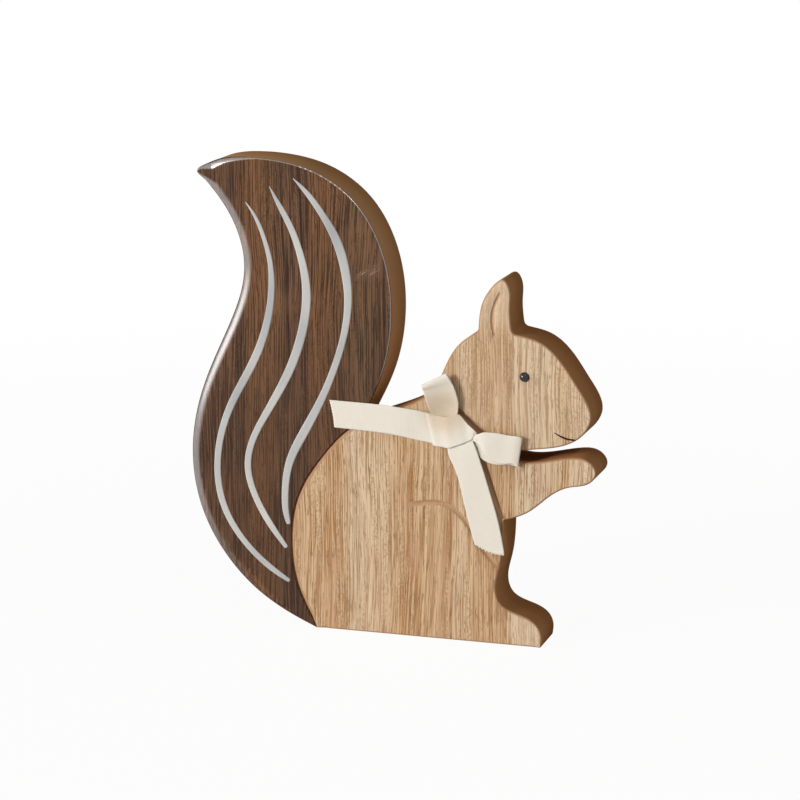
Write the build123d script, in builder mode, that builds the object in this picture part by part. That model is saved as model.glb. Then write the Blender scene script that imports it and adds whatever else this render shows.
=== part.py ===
from build123d import *
from math import atan2, degrees, hypot
import os

# A flat wooden squirrel that stands on its own foot, cut from two boards and tied with a ribbon bow.
# Millimetres. X runs from the tail to the nose, Z is up, and the show face looks along -Y.
# The origin is the middle of the flat base that it stands on.

# Boards
board_thickness = 22.0
body_edge_round = 0.8
tail_edge_round = 2.4
seam_groove_width = 4.4
seam_groove_depth = 1.8

# Base, from heel to toe
base_length = 102.0

# Carved lines: width across the cut and depth below the face
neck_groove_width = 4.0
neck_groove_depth = 1.2
thigh_groove_width = 2.6
thigh_groove_depth = 0.7
arm_groove_width = 2.4
arm_groove_depth = 0.9
ear_groove_width = 1.4
ear_groove_depth = 0.6

# Dowels across the seam
dowel_diameter = 6.0
dowel_length = 28.0
dowel_clearance = 0.1
dowel_end_room = 1.0

# Eye bead
eye_diameter = 4.4
eye_height = 1.7
eye_shank_diameter = 2.0
eye_shank_length = 6.0
eye_clearance = 0.05

# Paint, filled flush into shallow scraped channels
paint_depth = 0.3
stripe_width = 3.2
mouth_width = 0.8
stroke_point_share = 1 / 3

# Ribbon, tied round the neck: flat in the bow, gathered where it goes round the neck
ribbon_width = 12.0
ribbon_thickness = 0.5
ribbon_clearance = 0.3
gathered_width = 3.4
gathered_thickness = 1.0
back_spread_width = 10.5
nape_room = 1.0
slot_room = 1.3
knot_height = 2.9
knot_edge_round = 1.0
loop_depth = 3.6
loop_waist = 1.4
upper_loop_lift = 1.5
right_loop_lift = 1.7
left_tail_lift = 1.7
right_tail_lift = 2.0
tail_end_lift = 0.4
tail_slack = 0.4


# Inside corners of the body's outline
ear_front_radius = 1.8
ear_back_radius = 1.5
nape_radius = 1.5
armpit_radius = 1.2

# Blunt end of the tail
tail_tip_radius = 3.0


def steps_from(place, steps):
    """Points on the show face, at steps (x, z) from a place."""
    return [(place[0] + x, place[1] + z) for x, z in steps]


# Places on the show face, as (x, z) from the middle of the base
heel = (-base_length / 2, 0)
toe = (base_length / 2, 0)
nape = (3.1, 110.2)
ear_front = (37.2, 138.0)
ear_back = (22.2, 138.2)
armpit = (34.2, 56.0)
slot_lower_lip = (33.7, 84.1)
slot_end = (32.7, 87.5)
slot_upper_lip = (36.1, 88.5)
eye_place = (42.8, 119.6)
knot_foot = (8.2, 85.7)

# Seam between the boards and the tail's outline, in steps from the heel
seam_steps = [(20.0, 94.6), (2.4, 78.1), (-8.6, 59.8), (-12.0, 37.6), (-8.8, 17.7), (0, 0)]
tail_outer_steps = [
    (0, 0),
    (-21.2, 8.9),
    (-41.3, 26.2),
    (-54.6, 49.0),
    (-59.1, 76.8),
    (-54.1, 104.0),
    (-41.2, 133.8),
    (-33.7, 160.1),
    (-40.6, 183.8),
    (-55.5, 202.2),
]
tail_inner_steps = [
    (-55.5, 202.2),
    (-43.4, 207.4),
    (-31.1, 208.6),
    (-14.8, 207.4),
    (-3.1, 204.6),
    (18.3, 191.0),
    (30.9, 168.7),
    (34.5, 142.7),
    (30.0, 116.3),
    (20.0, 94.6),
]
seam_points = steps_from(heel, seam_steps)
tail_outer_points = steps_from(heel, tail_outer_steps)
tail_inner_points = steps_from(heel, tail_inner_steps)
seam_top = seam_points[0]

# The foot's outline, in steps from the toe
foot_steps = [(0.6, 3.8), (-0.7, 8.6), (-4.6, 12.1), (-11.9, 14.8), (-17.9, 18.2), (-20.2, 24.6), (-18.5, 34.6)]
foot_points = [toe, *steps_from(toe, foot_steps), armpit]

# The rest of the body's outline, as points that it passes through
arm_points = [
    armpit,
    (45.9, 60.8),
    (53.6, 67.3),
    (63.1, 72.5),
    (71.8, 75.0),
    (74.7, 79.5),
    (71.0, 84.7),
    (63.7, 86.0),
    (43.3, 82.6),
    slot_lower_lip,
]
face_points = [
    slot_upper_lip,
    (47.7, 87.5),
    (60.5, 90.7),
    (68.8, 96.0),
    (72.1, 102.6),
    (66.2, 116.6),
    (59.1, 126.8),
    (48.9, 135.2),
    ear_front,
]
ear_points = [
    ear_front,
    (36.2, 149.6),
    (35.7, 158.0),
    (33.6, 160.9),
    (27.0, 156.3),
    (23.2, 148.4),
    ear_back,
]
crown_points = [
    ear_back,
    (13.5, 131.8),
    (8.1, 123.3),
    nape,
]
torso_points = [
    nape,
    (-9.1, 103.7),
    seam_top,
]
inside_corners = {
    ear_front: ear_front_radius,
    ear_back: ear_back_radius,
    nape: nape_radius,
    armpit: armpit_radius,
}

# Directions in which the outline runs through its joins
nape_direction = (-0.9, -0.43)
seam_top_direction = (-0.89, -0.45)
heel_direction = (0.5, -0.86)
armpit_direction = (1.0, 0.2)
slot_direction = (-0.88, 0.48)
ear_front_direction = (-0.97, 0.22)

# Carved lines, as points that their middles pass through
neck_groove_points = [nape, (16.9, 99.7), slot_end, (34.5, 86.5)]
thigh_groove_points = [(-8.6, 59.9), (5.8, 61.3), (20.4, 50.1), (31.1, 32.6)]
arm_groove_points = [(24.4, 82.6), (28.9, 69.5), armpit]
ear_groove_points = [(32.2, 155.9), (28.5, 146.1), (29.3, 137.1)]

# Painted strokes, from the pointed top to the round lower end, in steps from the heel, and the mouth
left_stripe_steps = [
    (-31.3, 188.7),
    (-20.4, 162.3),
    (-24.6, 129.1),
    (-41.6, 92.9),
    (-45.7, 61.9),
    (-32.7, 36.0),
    (-14.0, 21.1),
]
middle_stripe_steps = [
    (-20.5, 196.1),
    (-7.4, 169.6),
    (-3.8, 148.5),
    (-12.1, 116.0),
    (-24.4, 93.6),
    (-31.9, 71.4),
    (-24.6, 50.1),
    (-15.0, 36.9),
]
right_stripe_steps = [
    (-9.3, 200.0),
    (9.3, 175.3),
    (14.9, 144.2),
    (6.3, 111.9),
    (-5.1, 89.6),
    (-14.2, 67.3),
    (-15.0, 57.0),
    (-14.4, 49.2),
]
mouth_points = [(56.2, 96.2), (60.1, 94.4), (64.4, 93.9)]

# The bow's outlines on the show face, in steps from the foot of the knot
knot_steps = [(-5.0, 8.5), (5.1, 15.4), (13.7, 7.5), (11.6, 5.2)]
upper_fold_steps = [(-10.9, 28.0), (0.8, 33.5)]
upper_loop_steps = [(5.1, 20.1)]
right_fold_steps = [(33.4, 7.7), (33.1, -5.6)]
right_loop_steps = [(18.7, 8.8), (19.7, -4.4), (14.3, 2.3)]
left_cut_steps = [(-53.2, 18.7), (-50.9, 6.1)]
left_tail_steps = [(-6.8, 15.5), (-22.6, 17.5), (-22.6, 5.5)]
right_cut_steps = [(26.3, -45.7), (13.2, -41.9)]
band_bend_steps = [(2.2, 11.0), (12.7, 5.4)]
knot_left, knot_top, knot_right, knot_right_foot = steps_from(knot_foot, knot_steps)
upper_fold = steps_from(knot_foot, upper_fold_steps)
right_fold = steps_from(knot_foot, right_fold_steps)
left_cut = steps_from(knot_foot, left_cut_steps)
right_cut = steps_from(knot_foot, right_cut_steps)
band_bends = steps_from(knot_foot, band_bend_steps)
neck_direction = (0.8, -0.6)

half_thickness = board_thickness / 2
show_face = Plane.XZ.offset(half_thickness)
above_face = show_face.offset(paint_depth)
slot_way_out = (-slot_direction[0], -slot_direction[1])
dowel_places = [seam_points[2], seam_points[4]]
os.makedirs("parts", exist_ok=True)


def along(place, direction, distance):
    """Point at a distance from a place, in a direction on the face."""
    share = distance / hypot(*direction)
    return (place[0] + direction[0] * share, place[1] + direction[1] * share)


def heading(direction):
    """Angle of a direction on the face, in degrees from the X axis."""
    return degrees(atan2(direction[1], direction[0]))


def middle(pair):
    """Point half way between two points."""
    return ((pair[0][0] + pair[1][0]) / 2, (pair[0][1] + pair[1][1]) / 2)


def seam():
    """The shared edge of the two boards, drawn downwards into the current line."""
    return Spline(*seam_points, tangents=[seam_top_direction, heel_direction])


def carve(plane, path, width, depth):
    """Cut a V-shaped line of a width and a depth into a face, along a path on it."""
    with BuildSketch(Plane(path @ 0, x_dir=plane.z_dir, z_dir=path % 0)) as cutter:
        Polygon((-depth, 0), (depth, -width), (depth, width), align=None)
    sweep(sections=cutter.sketch, path=path, mode=Mode.SUBTRACT)


def brush_stroke(plane, points, width):
    """Outline of a painted stroke: pointed at its first point, swelling to its width, round at its last."""
    spine = Spline(*points, mode=Mode.PRIVATE)
    sides = {1: [points[0]], -1: [points[0]]}
    steps = 2 * len(points)
    for step in range(1, steps + 1):
        share = step / steps
        half_width = width / 2 * min(1, share / stroke_point_share) ** 0.5
        across = (spine % share).rotate(Axis.Z, 90)
        for side in sides:
            sides[side].append(spine @ share + across * (side * half_width))
    with BuildSketch(plane) as stroke:
        with BuildLine():
            left = Spline(*sides[1])
            right = Spline(*sides[-1])
            ThreePointArc(left @ 1, spine @ 1 + spine % 1 * (width / 2), right @ 1)
        make_face()
    return stroke.sketch


def ribbon_plane(start, end):
    """Plane of a ribbon's lengthwise section: first along the ribbon, then its height above the face."""
    run = Vector(end[0] - start[0], 0, end[1] - start[1])
    return Plane((start[0], -half_thickness, start[1]), x_dir=run, z_dir=(run.Z, 0, -run.X)), run.length


def face_outline(*points):
    """Flat shape on the show face."""
    with BuildSketch(show_face) as shape:
        Polygon(*points, align=None)
    return shape.sketch


def tail_section(start, end, lift):
    """Lengthwise section of a ribbon end: it comes down from the knot to the face in a slack arc."""
    plane, length = ribbon_plane(start, end)
    sag = (lift + tail_end_lift) / 2 - tail_slack
    low = [(-ribbon_width, lift), (length / 2, sag), (length + ribbon_width, tail_end_lift)]
    with BuildSketch(plane) as section:
        with BuildLine():
            under = ThreePointArc(*low)
            over = ThreePointArc(*[(s, height + ribbon_thickness) for s, height in low])
            Line(under @ 0, over @ 0)
            Line(under @ 1, over @ 1)
        make_face()
    return section.sketch


def loop_section(start, end, lift):
    """Lengthwise section of a bow loop: two leaves that part from the knot and join in a round fold."""
    plane, length = ribbon_plane(start, end)
    fold = loop_depth / 2
    base = lift + fold - loop_waist / 2
    with BuildSketch(plane) as section:
        with BuildLine():
            Line((-ribbon_width, base + loop_waist), (-ribbon_width, base))
            Line((-ribbon_width, base), (0, base))
            Line((0, base), (length - fold, lift))
            ThreePointArc((length - fold, lift), (length, lift + fold), (length - fold, lift + loop_depth))
            Line((length - fold, lift + loop_depth), (0, base + loop_waist))
            Line((0, base + loop_waist), (-ribbon_width, base + loop_waist))
        make_face()
        offset(amount=-ribbon_thickness, mode=Mode.SUBTRACT)
    return section.sketch


# Body board: head, ear, torso, arm, thigh and foot in one piece
with BuildPart() as body_board:
    with BuildSketch(Plane.XZ):
        with BuildLine():
            Line(heel, toe)
            Spline(*foot_points)
            Spline(*arm_points, tangents=[armpit_direction, slot_direction])
            ThreePointArc(slot_lower_lip, slot_end, slot_upper_lip)
            Spline(*face_points, tangents=[slot_way_out, ear_front_direction])
            Spline(*ear_points)
            Spline(*crown_points)
            Spline(*torso_points, tangents=[nape_direction, seam_top_direction])
            seam()
        make_face()
    extrude(amount=half_thickness, both=True)
    for (x, z), radius in inside_corners.items():
        fillet(body_board.edges().filter_by(Axis.Y).sort_by_distance((x, 0, z))[0], radius)
    for side in (0, -1):
        rim = body_board.faces().sort_by(Axis.Y)[side].edges()
        fillet(rim.filter_by(lambda edge: edge.center().Z > body_edge_round), body_edge_round)
    carved_lines = [
        (neck_groove_points, neck_groove_width, neck_groove_depth),
        (thigh_groove_points, thigh_groove_width, thigh_groove_depth),
        (arm_groove_points, arm_groove_width, arm_groove_depth),
        (ear_groove_points, ear_groove_width, ear_groove_depth),
    ]
    for points, width, depth in carved_lines:
        with BuildLine(show_face) as carved_line:
            Spline(*points)
        carve(show_face, carved_line.line, width, depth)
    for face in (show_face, show_face.rotated((180, 0, 0)).offset(board_thickness)):
        with BuildLine(Plane.XZ) as groove_line:
            edge = seam()
            Line(edge @ 1, edge @ 1 + edge % 1 * seam_groove_width)
        carve(face, groove_line.line.moved(Location((0, face.origin.Y, 0))), seam_groove_width, seam_groove_depth)
    with BuildSketch(show_face):
        with Locations(eye_place):
            Circle(eye_shank_diameter / 2 + eye_clearance)
    extrude(amount=-eye_shank_length - eye_clearance, mode=Mode.SUBTRACT)
    extrude(brush_stroke(above_face, mouth_points, mouth_width), amount=-2 * paint_depth, mode=Mode.SUBTRACT)
    with Locations(*[(x, 0, z) for x, z in dowel_places]):
        Cylinder(
            dowel_diameter / 2 + dowel_clearance,
            dowel_length + 2 * dowel_end_room,
            rotation=(0, 90, 0),
            mode=Mode.SUBTRACT,
        )
body_board.part.label = "body_board"
export_step(body_board.part, "parts/body_board.step")

# Tail board: stained dark, rounded over all round, butted and glued to the back of the body
stripe_points = {
    "left": steps_from(heel, left_stripe_steps),
    "middle": steps_from(heel, middle_stripe_steps),
    "right": steps_from(heel, right_stripe_steps),
}
with BuildPart() as tail_board:
    with BuildSketch(Plane.XZ):
        with BuildLine():
            Spline(*tail_outer_points)
            Spline(*tail_inner_points)
            seam()
        make_face()
    extrude(amount=half_thickness, both=True)
    tail_tip = (tail_outer_points[-1][0], 0, tail_outer_points[-1][1])
    fillet(tail_board.edges().filter_by(Axis.Y).sort_by_distance(tail_tip)[0], tail_tip_radius)
    for side in (0, -1):
        fillet(tail_board.faces().sort_by(Axis.Y)[side].edges(), tail_edge_round)
    for points in stripe_points.values():
        extrude(brush_stroke(above_face, points, stripe_width), amount=-2 * paint_depth, mode=Mode.SUBTRACT)
    with Locations(*[(x, 0, z) for x, z in dowel_places]):
        Cylinder(
            dowel_diameter / 2 + dowel_clearance,
            dowel_length + 2 * dowel_end_room,
            rotation=(0, 90, 0),
            mode=Mode.SUBTRACT,
        )
tail_board.part.label = "tail_board"
export_step(tail_board.part, "parts/tail_board.step")

# Two dowels hidden in the seam, half in each board
with BuildPart() as joint_dowels:
    with Locations(*[(x, 0, z) for x, z in dowel_places]):
        Cylinder(dowel_diameter / 2, dowel_length, rotation=(0, 90, 0))
joint_dowels.part.label = "joint_dowels"
export_step(joint_dowels.part, "parts/joint_dowels.step")

# Three painted stripes that follow the tail
for name, points in stripe_points.items():
    with BuildPart() as tail_stripe:
        extrude(brush_stroke(show_face, points, stripe_width), amount=-paint_depth)
    tail_stripe.part.label = "tail_stripe_" + name
    export_step(tail_stripe.part, "parts/tail_stripe_" + name + ".step")

# Painted smile
with BuildPart() as mouth_line:
    extrude(brush_stroke(show_face, mouth_points, mouth_width), amount=-paint_depth)
mouth_line.part.label = "mouth_line"
export_step(mouth_line.part, "parts/mouth_line.step")

# Eye: a domed bead turned with its shank, pushed into the drilled hole
eye_radius = eye_diameter / 2
dome_radius = (eye_radius**2 + eye_height**2) / (2 * eye_height)
eye_plane = Plane((eye_place[0], -half_thickness, eye_place[1]), x_dir=(1, 0, 0), z_dir=(0, 0, -1))
with BuildPart() as eye_bead:
    with BuildSketch(eye_plane):
        with BuildLine():
            RadiusArc((eye_radius, 0), (0, eye_height), -dome_radius)
            Polyline(
                (0, eye_height),
                (0, -eye_shank_length),
                (eye_shank_diameter / 2, -eye_shank_length),
                (eye_shank_diameter / 2, 0),
                (eye_radius, 0),
            )
        make_face()
    revolve(axis=Axis(eye_plane.origin, eye_plane.y_dir))
eye_bead.part.label = "eye_bead"
export_step(eye_bead.part, "parts/eye_bead.step")

# Ribbon round the neck: gathered across the front, round the nape and through the slot, spread over the back
wrap_reach = half_thickness + ribbon_clearance + gathered_thickness
nape_wrap = along(nape, neck_direction, -nape_room - gathered_thickness / 2)
slot_wrap = along(slot_end, slot_way_out, slot_room + gathered_thickness / 2)
front_run = [nape_wrap, *band_bends, slot_wrap]
with BuildPart() as neck_ribbon:
    for start, end in zip(front_run, front_run[1:]):
        run = (end[0] - start[0], end[1] - start[1])
        with BuildSketch(show_face.offset(ribbon_clearance)):
            with Locations(middle([start, end])):
                SlotCenterToCenter(hypot(*run), gathered_width, rotation=heading(run))
        extrude(amount=gathered_thickness)
    for place, direction in ((nape_wrap, neck_direction), (slot_wrap, slot_direction)):
        with BuildSketch(Plane.XZ):
            with Locations(place):
                Rectangle(gathered_thickness, gathered_width, rotation=heading(direction))
        extrude(amount=wrap_reach, both=True)
    across_back = (slot_wrap[0] - nape_wrap[0], slot_wrap[1] - nape_wrap[1])
    back_length = hypot(*across_back)
    back_end = gathered_thickness / 2
    with BuildSketch(Plane.XZ.offset(-wrap_reach)):
        with Locations(Location((*nape_wrap, 0), (0, 0, heading(across_back)))):
            Polygon(
                (-back_end, -gathered_width / 2),
                (back_length / 2, -back_spread_width / 2),
                (back_length + back_end, -gathered_width / 2),
                (back_length + back_end, gathered_width / 2),
                (back_length / 2, back_spread_width / 2),
                (-back_end, gathered_width / 2),
                align=None,
            )
    extrude(amount=gathered_thickness)
neck_ribbon.part.label = "neck_ribbon"
export_step(neck_ribbon.part, "parts/neck_ribbon.step")

# Knot of the bow, pulled tight over the neck ribbon
knot_base = 2 * ribbon_clearance + gathered_thickness
with BuildPart() as bow_knot:
    with BuildSketch(show_face.offset(knot_base)):
        Polygon(knot_left, knot_top, knot_right, knot_right_foot, knot_foot, align=None)
    extrude(amount=knot_height)
    fillet(bow_knot.faces().sort_by(Axis.Y)[0].edges(), knot_edge_round)
bow_knot.part.label = "bow_knot"
export_step(bow_knot.part, "parts/bow_knot.step")

# Two loops and two loose ends of the bow, each trimmed to its outline and starting at the knot
bow_reach = 4 * loop_depth
upper_start = middle([knot_left, knot_top])
with BuildPart() as bow_loop_upper:
    extrude(loop_section(upper_start, middle(upper_fold), upper_loop_lift), amount=bow_reach, both=True)
    shape = face_outline(knot_left, *upper_fold, *steps_from(knot_foot, upper_loop_steps), knot_top)
    extrude(shape, amount=bow_reach, mode=Mode.INTERSECT)
bow_loop_upper.part.label = "bow_loop_upper"
export_step(bow_loop_upper.part, "parts/bow_loop_upper.step")

right_start = middle([knot_right, knot_right_foot])
with BuildPart() as bow_loop_right:
    extrude(loop_section(right_start, middle(right_fold), right_loop_lift), amount=bow_reach, both=True)
    loop_top, *loop_foot = steps_from(knot_foot, right_loop_steps)
    shape = face_outline(knot_right, loop_top, *right_fold, *loop_foot, knot_right_foot)
    extrude(shape, amount=bow_reach, mode=Mode.INTERSECT)
bow_loop_right.part.label = "bow_loop_right"
export_step(bow_loop_right.part, "parts/bow_loop_right.step")

left_start = middle([knot_left, knot_foot])
with BuildPart() as bow_tail_left:
    extrude(tail_section(left_start, middle(left_cut), left_tail_lift), amount=bow_reach, both=True)
    *tail_top, tail_foot = steps_from(knot_foot, left_tail_steps)
    shape = face_outline(knot_left, *tail_top, *left_cut, tail_foot, knot_foot)
    extrude(shape, amount=bow_reach, mode=Mode.INTERSECT)
bow_tail_left.part.label = "bow_tail_left"
export_step(bow_tail_left.part, "parts/bow_tail_left.step")

foot_start = middle([knot_foot, knot_right_foot])
with BuildPart() as bow_tail_right:
    extrude(tail_section(foot_start, middle(right_cut), right_tail_lift), amount=bow_reach, both=True)
    shape = face_outline(knot_foot, knot_right_foot, *right_cut)
    extrude(shape, amount=bow_reach, mode=Mode.INTERSECT)
bow_tail_right.part.label = "bow_tail_right"
export_step(bow_tail_right.part, "parts/bow_tail_right.step")
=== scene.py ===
import bpy
import numpy as np
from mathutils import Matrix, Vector
from mathutils.geometry import delaunay_2d_cdt


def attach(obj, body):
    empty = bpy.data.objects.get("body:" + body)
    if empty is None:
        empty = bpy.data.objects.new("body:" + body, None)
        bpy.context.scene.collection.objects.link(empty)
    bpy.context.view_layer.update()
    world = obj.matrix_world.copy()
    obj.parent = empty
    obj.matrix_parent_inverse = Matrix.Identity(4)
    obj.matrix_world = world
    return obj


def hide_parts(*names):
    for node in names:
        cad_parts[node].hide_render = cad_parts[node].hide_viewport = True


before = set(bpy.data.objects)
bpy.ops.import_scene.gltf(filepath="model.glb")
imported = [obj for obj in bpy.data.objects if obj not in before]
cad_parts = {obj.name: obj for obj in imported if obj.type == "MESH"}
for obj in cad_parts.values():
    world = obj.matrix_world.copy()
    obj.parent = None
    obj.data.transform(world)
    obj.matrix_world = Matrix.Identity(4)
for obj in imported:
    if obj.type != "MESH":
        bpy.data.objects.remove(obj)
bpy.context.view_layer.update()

# Body board
# The real piece is one board of pale ring-porous wood, 22 mm thick and sawn to the squirrel's outline.
# Its edges are eased, its sawn wall is sealed in tan, and thigh, arm, neck and ear are routed into the show face.
MM = 0.001
HALF_BOARD = 11.0
OUTLINE_STEP, CORNER_STEPS = 0.5, 8
HEEL, TOE = (-51.0, 0.0), (51.0, 0.0)
SEAM_TOP, NAPE, ARMPIT = (-31.0, 94.6), (3.1, 110.2), (34.2, 56.0)
EAR_FRONT, EAR_BACK = (37.2, 138.0), (22.2, 138.2)
SLOT_LIPS, SLOT_END = ((33.7, 84.1), (36.1, 88.5)), (32.7, 87.5)
SLOT_IN, SLOT_OUT = (-0.88, 0.48), (0.88, -0.48)
SEAM_SHOULDER, SEAM_FOOT = (-0.89, -0.45), (0.5, -0.86)
SEAM = [SEAM_TOP, (-48.6, 78.1), (-59.6, 59.8), (-63.0, 37.6), (-59.8, 17.7), HEEL]


def lengths_along(line):
    """Length along a line up to each of its points: the sum of the steps between them."""
    return np.concatenate([[0.0], np.cumsum(np.linalg.norm(np.diff(line, axis=0), axis=1))])


def left_of(ahead):
    """Unit directions a quarter turn to the left of those given: (x, z) becomes (-z, x)."""
    return np.stack([-ahead[:, 1], ahead[:, 0]], axis=1) / np.linalg.norm(ahead, axis=1)[:, None]


def curve(points, step=OUTLINE_STEP, first=None, last=None, count=None):
    """Smooth line through points: the cubic spline by chord length, whose slopes solve one linear system.
    An end is free, or leaves in a given direction. It is read at even steps of the chord length."""
    p = np.array(points, float)
    chord = np.linalg.norm(np.diff(p, axis=0), axis=1)
    knots = lengths_along(p)
    rise = np.diff(p, axis=0) / chord[:, None]
    size = len(p)
    system, target = np.zeros((size, size)), np.zeros_like(p)
    inner = np.arange(1, size - 1)
    system[inner, inner - 1] = 1 / chord[:-1]
    system[inner, inner] = 2 / chord[:-1] + 2 / chord[1:]
    system[inner, inner + 1] = 1 / chord[1:]
    target[inner] = 3 * (rise[:-1] / chord[:-1, None] + rise[1:] / chord[1:, None])
    for end, beside, direction in ((0, 1, first), (-1, -2, last)):
        if direction is None:
            system[end, end], system[end, beside] = 2, 1
            target[end] = 3 * rise[end]
        else:
            system[end, end] = 1
            target[end] = np.array(direction) / np.linalg.norm(direction)
    slope = np.linalg.solve(system, target)
    read = np.linspace(0, knots[-1], count or int(round(knots[-1] / step)) + 1)
    k = np.clip(np.searchsorted(knots, read, side="right") - 1, 0, size - 2)
    w = ((read - knots[k]) / chord[k])[:, None]
    run = chord[k][:, None]
    start = p[k] * (1 + 2 * w) * (1 - w) ** 2 + slope[k] * run * w * (1 - w) ** 2
    return start + p[k + 1] * w**2 * (3 - 2 * w) + slope[k + 1] * run * w**2 * (w - 1)


def closed_outline(runs):
    """Closed outline of curves laid end to end. Each comes with the radius of the inside corner after it: both
    curves are cut back by it, and a parabola with the corner as its handle joins them. Then evenly stepped."""
    pieces = []
    cut = [int(round(radius / OUTLINE_STEP)) for _, radius in runs]
    for i, (line, _) in enumerate(runs):
        kept = line[cut[i - 1] : len(line) - cut[i]]
        pieces.append(kept if cut[i] else kept[:-1])
        if cut[i]:
            onward = runs[(i + 1) % len(runs)][0][cut[i]]
            t = np.linspace(0, 1, CORNER_STEPS)[1:-1, None]
            pieces.append(kept[-1] * (1 - t) ** 2 + 2 * line[-1] * t * (1 - t) + onward * t**2)
    ring = np.concatenate(pieces)
    loop = np.concatenate([ring, ring[:1]])
    length = lengths_along(loop)
    read = np.linspace(0, length[-1], int(length[-1] / OUTLINE_STEP) + 1)[:-1]
    return np.stack([np.interp(read, length, loop[:, axis]) for axis in (0, 1)], axis=1)


def nearest(points, line):
    """Distance from each point to the closest point of a finely stepped line, and that point's share along it."""
    away = np.linalg.norm(points[:, None] - line[None], axis=2)
    return away.min(axis=1), away.argmin(axis=1) / (len(line) - 1)


def put_mesh(name, vertices, faces, slot, **attributes):
    """Object at the origin from vertices in millimetres. Attributes are one value for each vertex."""
    mesh = bpy.data.meshes.new(name)
    mesh.from_pydata((vertices * MM).tolist(), [], faces)
    mesh.validate()
    mesh.shade_smooth()
    for label, values in attributes.items():
        layer = mesh.attributes.new(label, "FLOAT", "POINT")
        layer.data.foreach_set("value", np.asarray(values, np.float32))
    piece = bpy.data.objects.new(name, mesh)
    bpy.context.scene.collection.objects.link(piece)
    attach(piece, "root")
    return piece


ROUND_RINGS, WALL_RINGS = 8, 4
STRIP_MOST, STRIP_LEAST, STRIP_SHARE = 0.35, 0.03, 0.4
CAP_REACH, CAP_PITCH, RIM_CLEAR = (-120.0, 215.0), 3.4, 1.2
GROOVE_ROWS, GROOVE_SPAN, GROOVE_CLEAR = 11, 1.15, 1.6
SAME_POINT, WELD_GAP, SHARP_ANGLE = 1e-5, 0.02, 42.0


def board(name, outline, eased, dropped, nicks, carve, lines, slot):
    """Board between two flat faces, carried along its outline. At a quarter turn q from face to wall, a ring lies
    eased (1 - sin q) inside the outline and dropped (1 - cos q) below the face, and a narrow flat strip lies inside
    the first. Each cap is triangulated inside the strip, with rows of points beside the carved lines, and carve
    gives the depth and mark of its points."""
    inward = left_of(np.roll(outline, -1, axis=0) - np.roll(outline, 1, axis=0))
    turn = np.linspace(0, np.pi / 2, ROUND_RINGS)
    strip = np.minimum(STRIP_MOST, STRIP_LEAST + STRIP_SHARE * eased)
    inset = np.concatenate([[eased + strip], eased * (1 - np.sin(turn))[:, None]])
    below = np.concatenate([[0 * dropped], dropped * (1 - np.cos(turn))[:, None]])
    wall = np.concatenate([[0.0], np.sin(turn)])
    shares = np.linspace(-1, 1, WALL_RINGS + 2)[1:-1, None]
    depth = np.concatenate([below - HALF_BOARD, shares * (HALF_BOARD - dropped), HALF_BOARD - below[::-1]])
    inset = np.concatenate([inset, 0 * shares * eased, inset[::-1]])
    sawn = np.concatenate([wall, np.ones(len(shares)), wall[::-1]])
    flat = outline[None] + inset[:, :, None] * inward[None]
    rings = np.stack([flat[..., 0], depth, flat[..., 1]], axis=2)
    turns, steps = depth.shape
    index = np.arange(turns * steps).reshape(turns, steps)
    beside = np.roll(index, -1, axis=1)
    quads = np.stack([index[:-1], index[1:], beside[1:], beside[:-1]], axis=-1).reshape(-1, 4)

    spread = np.arange(*CAP_REACH, CAP_PITCH)
    grid = np.stack(np.meshgrid(spread, spread), axis=-1)
    grid[1::2, :, 0] += CAP_PITCH / 2
    grid = grid.reshape(-1, 2)
    rows = [flat[0]]
    for line, half_width in lines:
        across = left_of(np.gradient(line, axis=0))
        for offset in np.linspace(-GROOVE_SPAN, GROOVE_SPAN, GROOVE_ROWS) * half_width:
            rows.append((line + across * offset)[::2])
        grid = grid[nearest(grid, line)[0] > GROOVE_CLEAR * half_width]
    rows.append(grid[nearest(grid, flat[0])[0] > RIM_CLEAR])
    points = [Vector(p) for p in np.concatenate(rows)]
    edge = list(zip(range(steps), [*range(1, steps), 0]))
    found = delaunay_2d_cdt(points, edge, [list(range(steps))], 1, SAME_POINT)
    spots, triangles = np.array([tuple(p) for p in found[0]]), np.array(found[2])
    used = np.unique(triangles)
    spots, triangles = spots[used], np.searchsorted(used, triangles)
    a, b, c = (spots[triangles[:, i]] for i in range(3))
    facing = (b[:, 0] - a[:, 0]) * (c[:, 1] - a[:, 1]) - (b[:, 1] - a[:, 1]) * (c[:, 0] - a[:, 0])
    triangles = np.where(facing[:, None] > 0, triangles, triangles[:, ::-1])
    dip, mark = carve(spots)
    show = np.stack([spots[:, 0], dip - HALF_BOARD, spots[:, 1]], axis=1)
    back = np.stack([spots[:, 0], 0 * dip + HALF_BOARD, spots[:, 1]], axis=1)

    first_show, first_back = turns * steps, turns * steps + len(spots)
    plain = np.zeros(len(spots))
    piece = put_mesh(
        name,
        np.concatenate([rings.reshape(-1, 3), show, back]),
        quads.tolist() + (triangles + first_show).tolist() + (triangles[:, ::-1] + first_back).tolist(),
        slot,
        sawn=np.concatenate([np.repeat(sawn, steps), plain, plain]),
        carved=np.concatenate([np.zeros(turns * steps), mark, plain]),
        nicks=np.concatenate([np.tile(nicks, turns), plain, plain]),
    )
    weld = piece.modifiers.new("weld", "WELD")
    weld.merge_threshold = WELD_GAP * MM
    piece.data.set_sharp_from_angle(angle=np.radians(SHARP_ANGLE))
    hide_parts(name)
    return piece


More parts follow.
